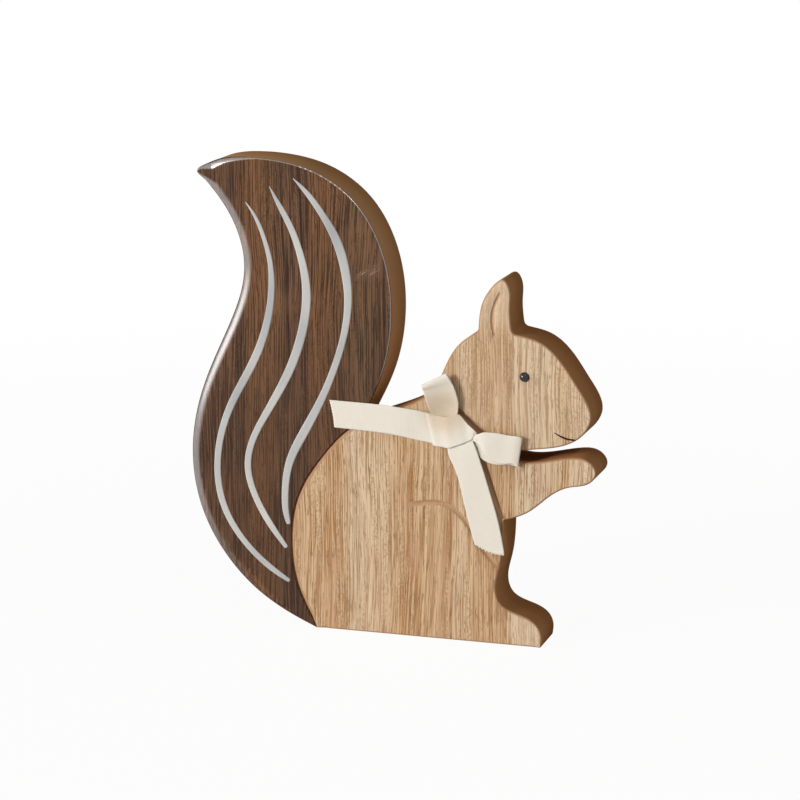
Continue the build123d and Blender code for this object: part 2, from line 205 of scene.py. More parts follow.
seam = curve(SEAM, first=SEAM_SHOULDER, last=SEAM_FOOT)
slot_arc = curve([SLOT_LIPS[0], SLOT_END, SLOT_LIPS[1]], first=SLOT_IN, last=SLOT_OUT)
foot = curve([
    TOE, (51.6, 3.8), (50.3, 8.6), (46.4, 12.1), (39.1, 14.8), (33.1, 18.2), (30.8, 24.6), (32.5, 34.6), ARMPIT,
])
arm = curve(
    [ARMPIT, (45.9, 60.8), (53.6, 67.3), (63.1, 72.5), (71.8, 75.0), (74.7, 79.5), (71.0, 84.7), (63.7, 85.5),
     (43.3, 82.1), SLOT_LIPS[0]],
    first=(1.0, 0.2), last=SLOT_IN,
)
face = curve(
    [SLOT_LIPS[1], (47.7, 88.1), (60.5, 90.7), (68.8, 96.0), (72.1, 102.6), (66.2, 116.6), (59.1, 126.8),
     (48.9, 135.2), EAR_FRONT],
    first=SLOT_OUT, last=(-0.97, 0.22),
)
ear = curve([EAR_FRONT, (36.2, 149.6), (35.7, 158.0), (33.6, 160.9), (27.0, 156.3), (23.2, 148.4), EAR_BACK])
crown = curve([EAR_BACK, (13.5, 131.8), (8.1, 123.3), NAPE])
shoulder = curve([NAPE, (-9.1, 103.7), SEAM_TOP], first=(-0.9, -0.43), last=SEAM_SHOULDER)
body_outline = closed_outline([
    (curve([HEEL, TOE]), 0), (foot, 1.2), (arm, 0), (slot_arc, 0), (face, 1.8), (ear, 1.5), (crown, 1.5),
    (shoulder, 0), (seam, 0),
])

BODY_ROUND, SEAM_ROUND, SEAM_FADE = 0.8, 2.1, 6.0
CORNER_ROUND, CORNER_GROWTH = 0.12, 0.3
corner_gap = np.minimum(*[np.linalg.norm(body_outline - np.array(corner), axis=1) for corner in (HEEL, TOE)])
seam_gap = nearest(body_outline, seam)[0]
body_round = BODY_ROUND + (SEAM_ROUND - BODY_ROUND) * np.clip(1 - seam_gap / SEAM_FADE, 0, 1)
body_round = np.minimum(body_round, CORNER_ROUND + CORNER_GROWTH * corner_gap)

THIGH = curve([(-9.6, 59.5), (-1.2, 60.9), (5.5, 61.4), (18.5, 52.3), (27.5, 39.2), (32.6, 34.0)])
NECK = curve([NAPE, (16.9, 99.7), SLOT_END])
ARM = curve([(24.4, 82.6), (28.9, 69.5), ARMPIT])
EAR = curve([(32.2, 156.1), (29.6, 150.5), (28.5, 146.3), (28.4, 141.9), (29.3, 137.1)])
# Each carved line has its path, half width, depth, and the length of the run-out at its start
CARVED_LINES = [(THIGH, 1.25, 0.7, 7.0), (NECK, 1.9, 1.2, 0.1), (ARM, 1.2, 0.9, 2.0), (EAR, 0.75, 0.6, 3.0)]
RUN_OUT_POWER, MARK_GAIN = 0.7, 3


def carve_body(spots):
    """Depth of the routed lines: across a line the cutter leaves the arc 1 - (d / w)^2, and the cut comes up by a
    power of the length over a run-out at its start. The mark is 1 in the cut and fades out at its edges."""
    depth, mark = np.zeros(len(spots)), np.zeros(len(spots))
    for line, half_width, full, run_out in CARVED_LINES:
        away, share = nearest(spots, line)
        came_up = np.clip(share * lengths_along(line)[-1] / run_out, 0, 1) ** RUN_OUT_POWER
        cut = np.clip(1 - (away / half_width) ** 2, 0, 1) * came_up
        depth = np.maximum(depth, full * cut)
        mark = np.maximum(mark, np.clip(cut * MARK_GAIN, 0, 1))
    return depth, mark


body = board(
    "body_board", body_outline, eased=body_round, dropped=body_round, nicks=0 * body_round, carve=carve_body,
    lines=[line[:2] for line in CARVED_LINES], slot="natural_wood",
)


class Shade:
    """One output of a shader node. Python operators on it add Math nodes, and node() adds every other node."""

    def __init__(self, tree, socket=None):
        self.tree, self.socket = tree, socket

    def node(self, kind, output, settings=None, sockets=None):
        """A node of a type: its settings first, with a ramp's stops among them, then its sockets' values or links."""
        made = self.tree.nodes.new(kind)
        for name, value in (settings or {}).items():
            if name == "stops":
                while len(made.color_ramp.elements) < len(value):
                    made.color_ramp.elements.new(0.5)
                for element, (place, colour) in zip(made.color_ramp.elements, value):
                    element.position, element.color = place, colour
            else:
                setattr(made, name, value)
        for key, value in (sockets or {}).items():
            if isinstance(value, Shade):
                self.tree.links.new(value.socket, made.inputs[key])
            else:
                made.inputs[key].default_value = value
        return Shade(self.tree, made.outputs[output])

    def maths(self, operation, *values):
        return self.node("ShaderNodeMath", 0, {"operation": operation}, dict(enumerate(values)))

    def __add__(self, other): return self.maths("ADD", self, other)
    def __radd__(self, other): return self.maths("ADD", other, self)
    def __sub__(self, other): return self.maths("SUBTRACT", self, other)
    def __rsub__(self, other): return self.maths("SUBTRACT", other, self)
    def __mul__(self, other): return self.maths("MULTIPLY", self, other)
    def __rmul__(self, other): return self.maths("MULTIPLY", other, self)
    def __pow__(self, other): return self.maths("POWER", self, other)

    def size(self):
        """The number without its sign."""
        return self.maths("ABSOLUTE", self)

    def step(self, low, high):
        """Smooth step: 0 below low, 1 above high."""
        smooth = {"interpolation_type": "SMOOTHSTEP"}
        return self.node("ShaderNodeMapRange", 0, smooth, {0: self, 1: low, 2: high})

    def parts(self, count):
        """The first numbers of a vector, one by one."""
        return [self.node("ShaderNodeSeparateXYZ", axis, None, {0: self}) for axis in range(count)]

    def noise(self, x, y, z, detail=2.0, roughness=0.5):
        """Smooth noise from 0 to 1 at a point that is already scaled to the noise's own size."""
        place = self.node("ShaderNodeCombineXYZ", 0, None, {0: x, 1: y, 2: z})
        sockets = {"Vector": place, "Scale": 1.0, "Detail": detail, "Roughness": roughness}
        return self.node("ShaderNodeTexNoise", 0, None, sockets)

    def tint(self, share, low, high):
        """Colour that goes from low to high with a share."""
        return self.node("ShaderNodeMix", 2, {"data_type": "RGBA"}, {0: share, 6: low, 7: high})

    def attribute(self, name):
        return self.node("ShaderNodeAttribute", "Fac", {"attribute_name": name})


def finish(name, *pieces):
    """Empty material on pieces: the wrapped tree, its shader, and the place on the piece in millimetres."""
    material = bpy.data.materials.new(name)
    material.use_nodes = True
    shader = material.node_tree.nodes["Principled BSDF"]
    for piece in pieces:
        piece.data.materials.clear()
        piece.data.materials.append(material)
    tree = Shade(material.node_tree)
    place = tree.node("ShaderNodeTexCoord", "Object")
    return tree, shader, [part * (1 / MM) for part in place.parts(3)]


def wire(tree, shader, **sockets):
    """Plain numbers and colours are set on the shader's own sockets, and what varies is linked."""
    for name, value in sockets.items():
        socket = shader.inputs[name.replace("_", " ")]
        if isinstance(value, Shade):
            tree.tree.links.new(value.socket, socket)
        else:
            socket.default_value = value


def bump(tree, height, distance, strength):
    """Bump node from a height between 0 and 1 and the distance in millimetres that 1 stands for."""
    return tree.node("ShaderNodeBump", 0, None, {"Strength": strength, "Distance": distance * MM, "Height": height})


def bands(tree, across, stops):
    """Colour of the growth bands at a place across the grain. Stops are millimetres and a colour."""
    low, high = stops[0][0], stops[-1][0]
    ramp = [((at - low) / (high - low), colour) for at, colour in stops]
    return tree.node("ShaderNodeValToRGB", 0, {"stops": ramp}, {0: (across - low) * (1 / (high - low))})


BAND_SWAY, BAND_TILT = 13, 0.15


def upright_grain(tree, place, seed, stops, light, dark, pore):
    """Face of a board whose fibres run up. The bands sway along z. On them lie soft lines about 1.7 mm apart, fine
    ones about 0.9 mm apart, pale clouds, short pores, and zones where the pores crowd into ragged streaks. Gives the
    colour and the pores."""
    x, y, z = place
    sway = tree.noise(x * 0.018 + seed, y * 0.02, z * 0.008)
    across = x + (sway - 0.5) * BAND_SWAY + y * BAND_TILT
    colour = bands(tree, across, stops)
    line = tree.noise(across * 1.2, y * 0.6 + seed, z * 0.016, 2.0, 0.6)
    colour = tree.tint((1 - line).step(0.45, 0.66) * 0.4, colour, light)
    colour = tree.tint(line.step(0.5, 0.66) * 0.48, colour, dark)
    fine = tree.noise(across * 2.2, y * 1.2 + seed, z * 0.03, 1.0, 0.5)
    colour = tree.tint((1 - fine).step(0.48, 0.58) * 0.52, colour, light)
    colour = tree.tint(fine.step(0.51, 0.6) * 0.74, colour, dark)
    cloud = tree.noise(x * 0.06, y * 0.05 + seed, z * 0.06)
    colour = tree.tint(cloud.step(0.5, 0.75) * 0.25, colour, light)
    zone = tree.noise(across * 0.2, 4.0 + seed, z * 0.012).step(0.5, 0.6)
    ragged = tree.noise(across * 1.4, y * 1.2, z * 0.7 + seed, 3.0, 0.7).step(0.5, 0.62)
    short = tree.noise(across * 1.9, y * 1.4, z * 0.16 + seed, 2.0, 0.6).step(0.57, 0.66)
    pores = tree.maths("MAXIMUM", zone * ragged * 0.8, short)
    return tree.tint(pores * 0.6, colour, pore), pores


def shaded_sawn_wall(tree, place, front, back):
    """Smooth sawn wall sealed in tan, darker towards the back of the board: that darkening is painted shade."""
    x, y, z = place
    cloud = tree.noise(x * 0.05, y * 0.12, z * 0.05, 3.0)
    return tree.tint(y.step(-10.0, 11.0) * 0.65 + cloud * 0.35, front, back)


PALE, GREY, SAPWOOD = (0.68, 0.525, 0.355, 1), (0.62, 0.5, 0.355, 1), (0.76, 0.61, 0.435, 1)
TAN, ORANGE = (0.555, 0.355, 0.19, 1), (0.45, 0.23, 0.095, 1)
WOOD_LIGHT, WOOD_DARK, WOOD_PORE = (0.7, 0.53, 0.355, 1), (0.33, 0.175, 0.078, 1), (0.22, 0.105, 0.044, 1)
WOOD_PINK, WOOD_EASED, WOOD_CARVED = (0.56, 0.36, 0.235, 1), (0.4, 0.225, 0.125, 1), (0.48, 0.29, 0.17, 1)
# Both boards have the same sealed wall: the body's wall colours are a darker copy of the tail's for painted shade,
# and each back colour is painted shade
WALL_FRONT, WALL_BACK_SHADED = (0.46, 0.235, 0.1, 1), (0.27, 0.122, 0.046, 1)
BODY_BANDS = [
    (-66, TAN), (-53, TAN), (-46, ORANGE), (-42, TAN), (-37, GREY), (-31, PALE), (-23, PALE), (-17, TAN),
    (-10, ORANGE), (-4, TAN), (4, TAN), (9, ORANGE), (13, PALE), (19, TAN), (23, ORANGE), (29, TAN), (34, ORANGE),
    (38, PALE), (48, GREY), (55, PALE), (59, TAN), (63, PALE), (69, SAPWOOD), (76, SAPWOOD),
]

wood, shader, place = finish("natural_wood", body)
x, y, z = place
colour, pores = upright_grain(wood, place, 0.0, BODY_BANDS, WOOD_LIGHT, WOOD_DARK, WOOD_PORE)
blush = wood.noise(x * 0.2, y * 0.1, z * 0.02)
colour = wood.tint(blush.step(0.5, 0.66) * 0.35, colour, WOOD_PINK)
on_foot = x.step(30.0, 50.0) * (1 - z.step(4.0, 30.0))
on_head, on_ear = z.step(85.0, 100.0), z.step(134.0, 146.0)
colour = wood.tint(on_foot * 0.4 + on_head * 0.16 + on_ear * 0.34, colour, SAPWOOD)
carved, sawn = wood.attribute("carved"), wood.attribute("sawn")
colour = wood.tint(carved * 0.85, colour, WOOD_CARVED)
colour = wood.tint(sawn.step(0.03, 0.25) * 0.8, colour, WOOD_EASED)
# The sawn wall, with painted shade towards the back of the board
colour = wood.tint(sawn.step(0.9, 0.995), colour, shaded_sawn_wall(wood, place, WALL_FRONT, WALL_BACK_SHADED))
smooth = wood.maths("MAXIMUM", carved, sawn)
wire(
    wood, shader, Base_Color=colour, Roughness=0.6 + pores * 0.15, Specular_IOR_Level=0.0,
    Normal=bump(wood, 1 - pores * (1 - smooth), distance=0.08, strength=0.6),
)

# Tail board
# The real piece is a board of the same thickness, sawn to an S, stained dark brown on both faces and lacquered.
# Its outer edge is well rounded over and catches the light. It is butted and glued to the body's back.
TAIL_TIP, TIP_CUT = (-106.5, 202.2), 3.5
tail_outer = curve([
    HEEL, (-72.2, 8.9), (-92.3, 26.2), (-105.6, 49.0), (-110.1, 76.8), (-105.1, 104.0), (-92.2, 133.8),
    (-84.7, 160.1), (-91.6, 183.8), TAIL_TIP,
])
tail_inner = curve([
    TAIL_TIP, (-94.4, 207.4), (-82.1, 208.6), (-65.8, 207.4), (-54.1, 204.6), (-32.7, 191.0), (-20.1, 168.7),
    (-16.5, 142.7), (-21.0, 116.3), SEAM_TOP,
])
tail_outline = closed_outline([(tail_outer[::-1], 0), (seam[::-1], 0), (tail_inner[::-1], TIP_CUT)])
RIM_WIDTH, RIM_DEPTH, CRISP_EDGE, RIM_FADE, SEAM_CLEAR = 6.2, 3.6, 0.7, 26.0, 14.0
outer_gap, seam_gap = nearest(tail_outline, tail_outer)[0], nearest(tail_outline, seam)[0]
rim = np.clip(1 - outer_gap / RIM_FADE, 0, 1) * np.clip(seam_gap / SEAM_CLEAR, 0, 1)
# The rounding narrows towards the three corners, so that it doesn't cross itself there
to_heel, to_tip, to_top = (np.linalg.norm(tail_outline - np.array(c), axis=1) for c in (HEEL, TAIL_TIP, SEAM_TOP))
room = np.minimum(np.minimum(0.02 + 0.18 * to_heel, 0.55 * to_tip), 0.05 + 0.25 * to_top)
tail_eased = np.minimum(CRISP_EDGE + (RIM_WIDTH - CRISP_EDGE) * rim, room)
tail_dropped = np.minimum(CRISP_EDGE + (RIM_DEPTH - CRISP_EDGE) * rim, room)
# Nicks in the edge: pale chips in short dashes at the top, and dark dashes where the rim is rounded
CHIPS_LEFT, CHIPS_RIGHT, CHIPS_ABOVE = -62, -36, 190
CHIP_CHANCE, DARK_CHANCE, DASH_STEPS, DASH_MARKED = 0.8, 0.55, 5, 2
chance = np.random.default_rng(4)
tail_x, tail_z = tail_outline.T
on_top = (tail_z > CHIPS_ABOVE) * (tail_x > CHIPS_LEFT) * (tail_x < CHIPS_RIGHT)
in_dash = np.arange(len(tail_outline)) % DASH_STEPS < DASH_MARKED
pale_chips = (chance.random(len(tail_outline)) < CHIP_CHANCE) * in_dash * on_top
dark_dashes = (chance.random(len(tail_outline)) < DARK_CHANCE) * (rim > 0.1) * (1 - on_top)
tail_nicks = 1.0 * pale_chips - 1.0 * dark_dashes


def carve_nothing(spots):
    """A plain face: no depth and no mark anywhere."""
    return np.zeros(len(spots)), np.zeros(len(spots))


tail = board(
    "tail_board", tail_outline, eased=tail_eased, dropped=tail_dropped, nicks=tail_nicks, carve=carve_nothing,
    lines=[], slot="stained_wood",
)

DUSK, BROWN = (0.057, 0.032, 0.022, 1), (0.098, 0.051, 0.028, 1)
RUSSET, OLIVE = (0.178, 0.082, 0.035, 1), (0.1, 0.063, 0.036, 1)
STAIN_LIGHT, STAIN_DARK, STAIN_PORE = (0.225, 0.114, 0.058, 1), (0.036, 0.019, 0.012, 1), (0.02, 0.011, 0.007, 1)
TAIL_WALL_FRONT, TAIL_WALL_BACK_SHADED = (0.53, 0.305, 0.15, 1), (0.325, 0.168, 0.073, 1)
STAIN_EDGE, RAW_CHIP, SCUFFED = (0.035, 0.022, 0.015, 1), (0.6, 0.47, 0.35, 1), (0.5, 0.4, 0.33, 1)
TAIL_BANDS = [
    (-112, DUSK), (-98, BROWN), (-91, DUSK), (-83, RUSSET), (-76, RUSSET), (-70, BROWN), (-65, DUSK), (-58, DUSK),
    (-52, RUSSET), (-45, RUSSET), (-39, BROWN), (-34, OLIVE), (-27, OLIVE), (-22, DUSK), (-15, BROWN),
]
SCUFF, SCUFF_X, SCUFF_Z = (-27.4, 160.8), 0.82, 0.57

stain, shader, place = finish("stained_wood", tail)
x, y, z = place
colour, pores = upright_grain(stain, place, 7.0, TAIL_BANDS, STAIN_LIGHT, STAIN_DARK, STAIN_PORE)
along_scuff = (x - SCUFF[0]) * SCUFF_X + (z - SCUFF[1]) * SCUFF_Z
over_scuff = (z - SCUFF[1]) * SCUFF_X - (x - SCUFF[0]) * SCUFF_Z
in_scuff = (1 - along_scuff.size().step(4.0, 7.5)) * (1 - over_scuff.size().step(0.8, 2.4))
scratch = stain.noise(along_scuff * 0.12, over_scuff * 2.0, 3.0, 3.0, 0.7).step(0.5, 0.66)
front_half = 1 - y.step(-1.0, 1.0)
colour = stain.tint(in_scuff * scratch * front_half * 0.6, colour, SCUFFED)
sawn, nicks = stain.attribute("sawn"), stain.attribute("nicks")
# Painted shade: the tail's face darkens towards the bottom, leaving the rounded rim alone
shaded_low = (1 - z.step(90.0, 150.0)) * (1 - sawn.step(0.0, 0.2))
colour = stain.tint(shaded_low * 0.34, colour, DUSK)
on_edge = sawn.step(0.84, 0.92)
colour = stain.tint(on_edge * (0.55 + (nicks * -1).step(0.2, 0.9) * 0.45), colour, STAIN_EDGE)
colour = stain.tint(nicks.step(0.3, 0.9) * sawn.step(0.1, 0.4) * (1 - on_edge), colour, RAW_CHIP)
on_wall = sawn.step(0.985, 0.999)
# The sawn wall, with painted shade towards the back of the board
colour = stain.tint(on_wall, colour, shaded_sawn_wall(stain, place, TAIL_WALL_FRONT, TAIL_WALL_BACK_SHADED))
# Painted highlight and shade in the coat: it is strong on the rounded rim to give the rim its highlight, fades
# towards the heel and is left off along the seam, where shade falls
outside_seam_shade = stain.maths("MAXIMUM", 1 - x.step(-76.0, -68.0), z.step(110.0, 122.0))
painted_rim_highlight = sawn.step(0.2, 0.5) * z.step(10.0, 70.0) * outside_seam_shade
wire(
    stain, shader, Base_Color=colour, Roughness=0.45 + pores * 0.2, Specular_IOR_Level=0.0, Coat_IOR=2.7,
    Coat_Weight=(1 - on_edge) * (0.04 + painted_rim_highlight * 0.96), Coat_Roughness=0.22,
    Normal=bump(stain, 1 - pores * (1 - sawn), distance=0.05, strength=0.5),
)

# Joint dowels
# Two plain beech dowels lie across the seam, half in each board, and are glued into drilled holes.
# Nothing of them shows.
BEECH, BEECH_FLECK = (0.62, 0.44, 0.27, 1), (0.5, 0.33, 0.19, 1)
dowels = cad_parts["joint_dowels"]
beech, shader, (x, y, z) = finish("dowel_wood", dowels)
fleck = beech.noise(x * 0.15, y * 2.0, z * 2.0)
wire(beech, shader, Base_Color=beech.tint(fleck, BEECH, BEECH_FLECK), Roughness=0.6)

# Tail stripes
# Three strokes of pale silver paint, laid on the stained face by hand with a small round brush.
# Each starts as a point, swells, and ends round where the brush was lifted, with the paint slightly proud.
STRIPES = {
    "left": [
        (-82.5, 189.0, 0.3), (-78.8, 183.8, 1.3), (-74.3, 173.7, 1.9), (-71.6, 163.3, 2.3), (-71.0, 152.8, 2.8),
        (-72.1, 142.1, 3.2), (-79.0, 120.4, 3.6), (-90.8, 98.0, 3.3), (-96.9, 75.8, 3.0), (-94.9, 54.0, 3.0),
        (-81.3, 33.1, 2.7), (-69.9, 24.0, 2.4), (-63.7, 20.3, 1.6),
    ],
    "middle": [
        (-71.6, 196.4, 0.3), (-67.9, 189.7, 1.9), (-62.3, 179.6, 2.8), (-58.3, 169.3, 3.1), (-55.0, 150.5, 3.9),
        (-56.2, 137.7, 4.0), (-63.1, 116.0, 3.9), (-75.4, 93.6, 3.1), (-80.9, 82.5, 2.9), (-82.9, 71.4, 3.0),
        (-80.6, 60.7, 2.9), (-70.0, 42.0, 2.6), (-65.0, 35.5, 1.8),
    ],
    "right": [
        (-60.7, 200.3, 0.3), (-55.7, 195.5, 1.9), (-47.7, 185.4, 2.9), (-41.7, 175.3, 3.9), (-38.1, 165.0, 4.1),
        (-36.1, 146.7, 3.4), (-40.9, 122.7, 3.0), (-50.0, 100.8, 3.5), (-57.7, 86.6, 4.0), (-63.2, 75.1, 3.5),
        (-65.6, 60.0, 3.1), (-65.2, 51.5, 2.7), (-64.0, 46.3, 1.9),
    ],
}
PAINT_PROUD, PAINT_SUNK, PAINT_EDGE = 0.06, 0.1, 0.01
STROKE_STEP, STROKE_COLUMNS = 0.4, 9
LEAST_WIDTH, TIP_HALF, FULL_HALF = 0.2, 0.02, 0.6


def loft(name, sections, slot, s, t, solid):
    """Surface from sections along a path, each a row of points. In a solid each row closes round, and both ends are
    capped. The UV map holds the length along the path in millimetres and the share across."""
    rows, columns, _ = sections.shape
    index = np.arange(rows * columns).reshape(rows, columns)
    beside = np.roll(index, -1, axis=1)
    quads = np.stack([index[:-1], beside[:-1], beside[1:], index[1:]], axis=-1)
    faces = (quads if solid else quads[:, :-1]).reshape(-1, 4).tolist()
    if solid:
        faces += [index[0, ::-1].tolist(), index[-1].tolist()]
    piece = put_mesh(name, sections.reshape(-1, 3), faces, slot)
    corners = np.zeros(len(piece.data.loops), np.int32)
    piece.data.loops.foreach_get("vertex_index", corners)
    uv = np.stack([np.repeat(s, columns), np.tile(t, rows)], axis=1)[corners]
    piece.data.uv_layers.new(name="along_across").data.foreach_set("uv", uv.astype(np.float32).ravel())
    return piece


def painted_stroke(name, points, proud, slot):
    """Paint on the face along points (x, z, width). Its width runs smoothly from point to point, and its last
    half width closes in a half circle. Across, the paint stands in the flat arc 1 - t^6 and meets the face."""
    run = curve(points, step=STROKE_STEP)
    line, half = run[:, :2], np.maximum(run[:, 2], LEAST_WIDTH) / 2
    across = left_of(np.gradient(line, axis=0))
    s = lengths_along(line)
    left_over = np.clip((s[-1] - s) / half[-1], 0, 1)
    half = half * np.sqrt(1 - (1 - left_over) ** 2) + TIP_HALF
    t = np.linspace(-1, 1, STROKE_COLUMNS)
    flat = line[:, None] + across[:, None] * (half[:, None] * t)[..., None]
    height = proud * np.minimum(1, half[:, None] / FULL_HALF) * (1 - t**6)
    top = np.stack([flat[..., 0], -HALF_BOARD - height - PAINT_EDGE, flat[..., 1]], axis=2)
    under = np.stack([flat[..., 0], 0 * height - HALF_BOARD + PAINT_SUNK, flat[..., 1]], axis=2)
    loop = np.concatenate([top, under[:, ::-1]], axis=1)
    return loft(name, loop, slot, s, np.concatenate([t, t[::-1]]), solid=True)


stripes = []
for side, points in STRIPES.items():
    node = "tail_stripe_" + side
    stripe = painted_stroke(node + "_paint", points, PAINT_PROUD, "silver_paint")
    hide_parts(node)
    stripes.append(stripe)


def along_across(tree):
    """Length along the piece in millimetres and the share across it, from its UV map."""
    return tree.node("ShaderNodeUVMap", 0, {"uv_map": "along_across"}).parts(2)


SILVER, SILVER_PALE, SILVER_THIN = (0.36, 0.37, 0.385, 1), (0.64, 0.625, 0.58, 1), (0.22, 0.18, 0.15, 1)
silver, shader, (x, _, z) = finish("silver_paint", *stripes)
length, across = along_across(silver)
hair = silver.noise(length * 0.12, across * 4.0, 0.0, 3.0, 0.6)
load = silver.noise(length * 0.03, x * 0.04, 2.0, 1.0)
thin = silver.noise(x * 0.7, z * 0.35, 4.0, 3.0, 0.7).step(0.62, 0.74)
lower = 1 - z.step(60.0, 130.0)
colour = silver.tint((load - 0.38) * 1.6 + hair * 0.3 + lower * 0.2, SILVER, SILVER_PALE)
colour = silver.tint(thin * 0.35, colour, SILVER_THIN)
wire(
    silver, shader, Base_Color=colour, Roughness=0.45 + hair * 0.15, Specular_IOR_Level=0.2,
    Normal=bump(silver, hair, distance=0.04, strength=0.5),
)

# Mouth
# A thin line of black paint, drawn by hand on the cheek with the tip of a fine brush.
# It starts as a hair line, swells a little, and ends near the front of the face.
MOUTH = [(56.2, 96.2, 0.36), (59.0, 94.8, 0.66), (61.2, 94.0, 0.78), (65.5, 93.6, 0.62)]
MOUTH_PROUD = 0.04
BLACK, BLACK_WORN = (0.012, 0.01, 0.009, 1), (0.035, 0.026, 0.02, 1)
mouth = painted_stroke("mouth_line_paint", MOUTH, MOUTH_PROUD, "black_paint")
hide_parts("mouth_line")
black, shader, (x, y, z) = finish("black_paint", mouth)
worn = black.noise(x * 1.5, y, z * 1.5)
wire(black, shader, Base_Color=black.tint(worn, BLACK, BLACK_WORN), Roughness=0.6, Specular_IOR_Level=0.05)

# Eye
# A moulded black bead with a polished dome that stands proud of the face.
# It is pushed by its shank into a drilled hole and glued there.
EYE, EYE_RADIUS, EYE_HEIGHT = (42.8, 119.6), 2.15, 1.7
EYE_LIP, EYE_SUNK, SHANK_RADIUS, SHANK_LENGTH = 0.1, 0.08, 1.0, 6.0
POLE_SHARE, POLE_RADIUS = 0.02, 0.02
dome_radius = (EYE_RADIUS**2 + EYE_HEIGHT**2) / (2 * EYE_HEIGHT)
swing = np.linspace(POLE_SHARE, 1, 14) * np.arcsin(EYE_RADIUS / dome_radius)
shank_out = [EYE_RADIUS - EYE_LIP, SHANK_RADIUS, SHANK_RADIUS, POLE_RADIUS]
shank_up = [-EYE_SUNK, -EYE_SUNK, -SHANK_LENGTH, -SHANK_LENGTH]
out = np.concatenate([dome_radius * np.sin(swing), shank_out])
up = np.concatenate([EYE_HEIGHT - dome_radius * (1 - np.cos(swing)), shank_up])
angle = np.linspace(0, 2 * np.pi, 49)[:-1]
rings = np.stack([
    EYE[0] + out[:, None] * np.cos(angle),
    -HALF_BOARD - up[:, None] + 0 * angle,
    EYE[1] + out[:, None] * np.sin(angle),
], axis=2)
eye = loft("eye_bead_dome", rings, "black_bead", up, angle, solid=True)
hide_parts("eye_bead")
JET, JET_SMEARED = (0.008, 0.008, 0.009, 1), (0.016, 0.015, 0.017, 1)
bead, shader, (x, y, z) = finish("black_bead", eye)
smear = bead.noise(x * 0.7, y * 0.7, z * 0.7, 3.0)
wire(
    bead, shader, Base_Color=bead.tint(smear, JET, JET_SMEARED), Roughness=0.04 + smear * 0.05,
    Specular_IOR_Level=0.5,
)

# Ribbon
# One length of 12 mm cream ribbon with fine ribs across it, tied round the neck in a bow. The neck turn is gathered
# into three layers and spreads out over the back, and the bow is a knot, two loops and two cut ends.
RIBBON_WIDTH, CLOTH, RIBBON_COLUMNS = 12.0, 0.3, 25
BULGE_FROM, BULGE_RUN, FRAY_FROM, FRAY_RUN = 0.8, 0.2, 0.97, 0.03


def on_face(points):
    """Places (x, height above the show face, z) as points of the shared frame."""
    p = np.array(points, float)
    return np.stack([p[:, 0], -HALF_BOARD - p[:, 1], p[:, 2]], axis=1)


def ribbon(name, node, sheet, s):
    """Ribbon from a sheet of points along and across: the cloth's thickness is added half to each side."""
    across = np.linspace(0, 1, sheet.shape[1])
    piece = loft(name, sheet, "cream_ribbon", s, across, solid=False)
    thick = piece.modifiers.new("cloth", "SOLIDIFY")
    thick.thickness, thick.offset, thick.use_even_offset = CLOTH * MM, 0.0, False
    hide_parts(node)
    return piece


def through_ribs(ribs, rows, fray, bulge):
    """Ribbon through ribs, each given by its two edge points and the dip of its middle towards the board. At share t
    across, a point lies on the line between the edges and dips by 4 t (1 - t). A cut end bulges by the same arc, and
    its threads stand out by two mixed waves. Gives the sheet and the length along its middle."""
    rows_in = [np.concatenate([on_face([a, b]).ravel(), [dip]]) for a, b, dip in ribs]
    run = curve(rows_in, count=rows)
    t = np.linspace(0, 1, RIBBON_COLUMNS)
    arc = 4 * t * (1 - t)
    sheet = run[:, None, :3] * (1 - t[None, :, None]) + run[:, None, 3:6] * t[None, :, None]
    sheet[..., 1] += run[:, 6:] * arc
    ahead = np.gradient(sheet, axis=0)
    ahead /= np.linalg.norm(ahead, axis=2, keepdims=True)
    s = np.linspace(0, 1, rows)[:, None]
    thread = np.sin(t * 61.0) + 0.7 * np.sin(t * 97.0 + 1.0)
    bulged = np.clip((s - BULGE_FROM) / BULGE_RUN, 0, 1) * bulge * arc
    frayed = np.clip((s - FRAY_FROM) / FRAY_RUN, 0, 1) * fray * thread
    sheet += ahead * (bulged + frayed)[..., None]
    return sheet, lengths_along(sheet[:, RIBBON_COLUMNS // 2])


LEFT_END = [
    ((10.2, 1.2, 100.9), (11.2, 1.2, 86.6), 0.0), ((5.7, 1.1, 101.1), (8.5, 1.1, 86.4), 0.0),
    ((1.7, 0.8, 101.3), (3.0, 0.8, 87.8), 0.1), ((-3.3, 0.7, 101.9), (-3.3, 0.7, 88.8), 0.1),
    ((-10.0, 0.9, 102.6), (-10.0, 0.9, 89.9), -0.1), ((-17.8, 0.9, 103.3), (-16.9, 0.9, 90.8), -0.1),
    ((-34.2, 0.6, 103.8), (-33.4, 0.6, 91.6), 0.0), ((-44.6, 0.4, 104.0), (-42.4, 0.4, 91.9), 0.0),
]
RIGHT_END = [
    ((10.0, 1.2, 89.8), (18.7, 1.4, 93.6), 0.0), ((9.4, 1.4, 86.1), (20.4, 1.9, 91.2), 0.0),
    ((12.4, 1.5, 78.2), (23.2, 2.1, 84.6), -0.1), ((15.7, 1.3, 67.3), (26.3, 1.9, 75.3), 0.0),
    ((18.0, 1.0, 57.4), (29.4, 1.6, 65.2), 0.1), ((20.0, 0.8, 49.5), (32.3, 1.3, 54.9), 0.0),
    ((21.6, 0.6, 44.3), (35.0, 1.0, 40.7), 0.0),
]
